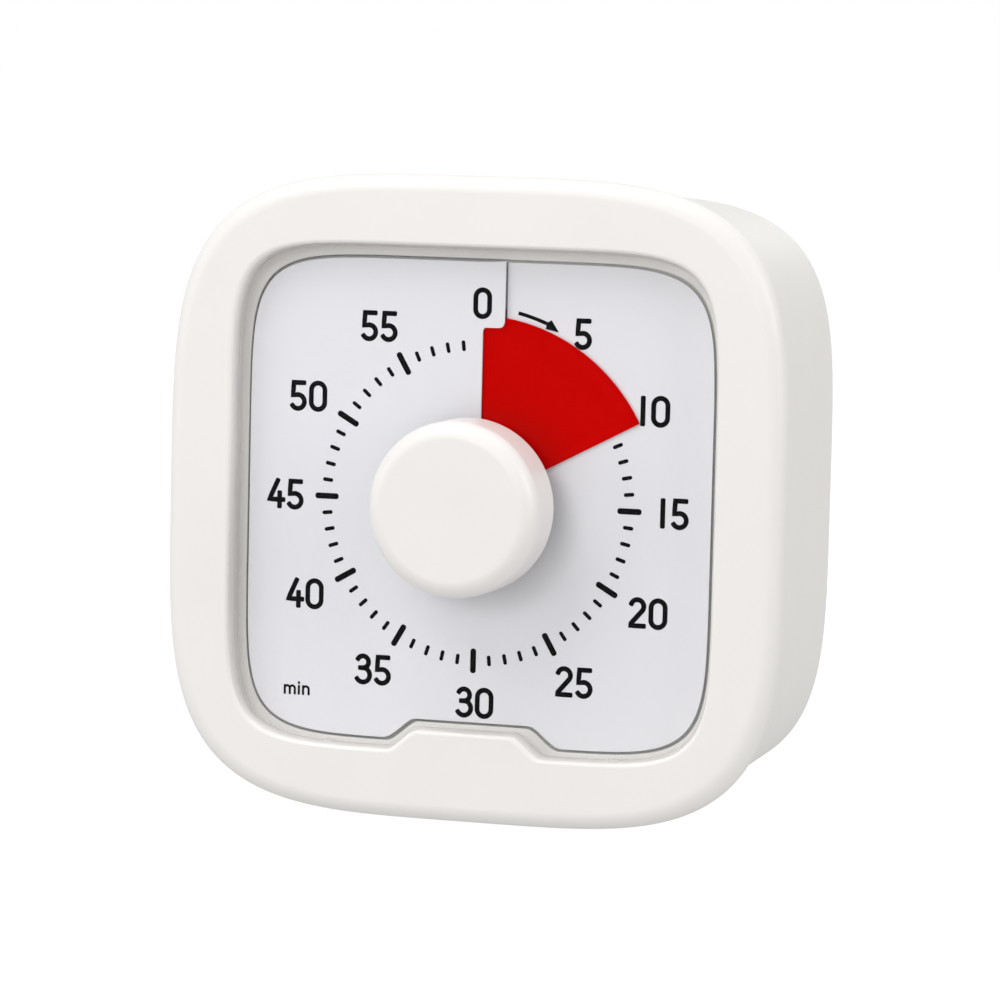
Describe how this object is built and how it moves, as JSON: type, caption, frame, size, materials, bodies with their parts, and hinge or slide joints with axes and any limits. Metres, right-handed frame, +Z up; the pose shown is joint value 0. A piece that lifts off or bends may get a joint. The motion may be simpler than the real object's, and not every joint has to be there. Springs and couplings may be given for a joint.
{
  "type": "kitchen timer",
  "caption": "Square desktop countdown timer: rounded shell, clear window, dial with a red disc that a central knob winds out, quartz movement and battery bay behind.",
  "frame": {"origin": "middle of the footprint on the surface that the timer stands on", "axes": "+Z up, the dial faces -Y, +X to the right of a person who reads the dial"},
  "size_m": [0.0854, 0.0462, 0.0858],
  "materials": {
    "shell": "warm white moulded plastic, satin gloss",
    "knob": "warm white moulded plastic, gloss",
    "clear": "clear acrylic, polished",
    "dial": "printed pale grey sheet, matte",
    "red": "red film, matte",
    "inner": "moulded plastic, matte",
    "gear": "acetal, satin",
    "rotor": "moulded magnet, matte",
    "steel": "plated steel",
    "magnet": "nickel plated",
    "copper": "enamelled copper wire",
    "board": "circuit board, green mask",
    "black": "moulded black plastic",
    "cell": "printed sleeve, satin",
    "rubber": "soft rubber, matte"
  },
  "bodies": {
    "housing": {"front_bezel": "shell", "rear_housing": "shell", "lens": "clear", "dial_plate": "dial", "dial_carrier": "inner", "movement_plate": "inner", "movement_case": "inner", "stator": "steel", "coil_bobbin": "black", "coil_winding": "copper", "circuit_board": "board", "control_chip": "black", "quartz_crystal": "steel", "sounder": "black", "volume_switch": "steel", "aa_cell": "cell", "battery_spring": "steel", "contact_plate": "steel", "housing_screw_1": "steel", "housing_screw_2": "steel", "housing_screw_3": "steel", "housing_screw_4": "steel", "movement_screw_1": "steel", "movement_screw_2": "steel", "movement_screw_3": "steel", "board_screw_1": "steel", "magnet_1": "magnet", "rear_foot_1": "rubber", "board_screw_2": "steel", "magnet_2": "magnet", "rear_foot_2": "rubber"},
    "knob": {"knob": "knob", "spindle": "steel", "clutch_spring": "steel", "spindle_clip": "steel"},
    "red_disc": {"red_disc": "red"},
    "drive_wheel": {"drive_wheel": "gear"},
    "second_wheel": {"second_wheel": "gear"},
    "third_wheel": {"third_wheel": "gear"},
    "rotor": {"rotor": "rotor"},
    "battery_door": {"battery_door": "shell"},
    "volume_slider": {"volume_slider": "black"}
  },
  "joints": [
    {"name": "knob_turn", "type": "hinge", "parent": "housing", "child": "knob", "pos_m": [0, -0.01085, 0.0424], "axis": [0, 1, 0], "range_deg": [-62.3, 297.7]},
    {"name": "disc_climb", "type": "slide", "parent": "knob", "child": "red_disc", "axis": [0, -1, 0], "range_m": [-0.000125, 0.000585]},
    {"name": "drive_wheel_turn", "type": "hinge", "parent": "housing", "child": "drive_wheel", "pos_m": [0, -0.00485, 0.0424], "axis": [0, 1, 0], "continuous": true},
    {"name": "second_wheel_turn", "type": "hinge", "parent": "housing", "child": "second_wheel", "pos_m": [0.01237, -0.00385, 0.05106], "axis": [0, 1, 0], "continuous": true},
    {"name": "third_wheel_turn", "type": "hinge", "parent": "housing", "child": "third_wheel", "pos_m": [0.00511, -0.00285, 0.05972], "axis": [0, 1, 0], "continuous": true},
    {"name": "rotor_turn", "type": "hinge", "parent": "housing", "child": "rotor", "pos_m": [-0.00615, -0.00085, 0.05873], "axis": [0, 1, 0], "continuous": true},
    {"name": "battery_door_swing", "type": "hinge", "parent": "housing", "child": "battery_door", "pos_m": [0, 0.02205, 0.018], "axis": [-1, 0, 0], "range_deg": [0, 100]},
    {"name": "volume_slide", "type": "slide", "parent": "housing", "child": "volume_slider", "axis": [1, 0, 0], "range_m": [-0.002, 0.002]}
  ],
  "couplings": [
    {"joint": "disc_climb", "follows": "knob_turn", "m_per_rad": 0.00011141},
    {"joint": "second_wheel_turn", "follows": "drive_wheel_turn", "ratio": -5},
    {"joint": "third_wheel_turn", "follows": "drive_wheel_turn", "ratio": 30},
    {"joint": "rotor_turn", "follows": "drive_wheel_turn", "ratio": -180}
  ]
}
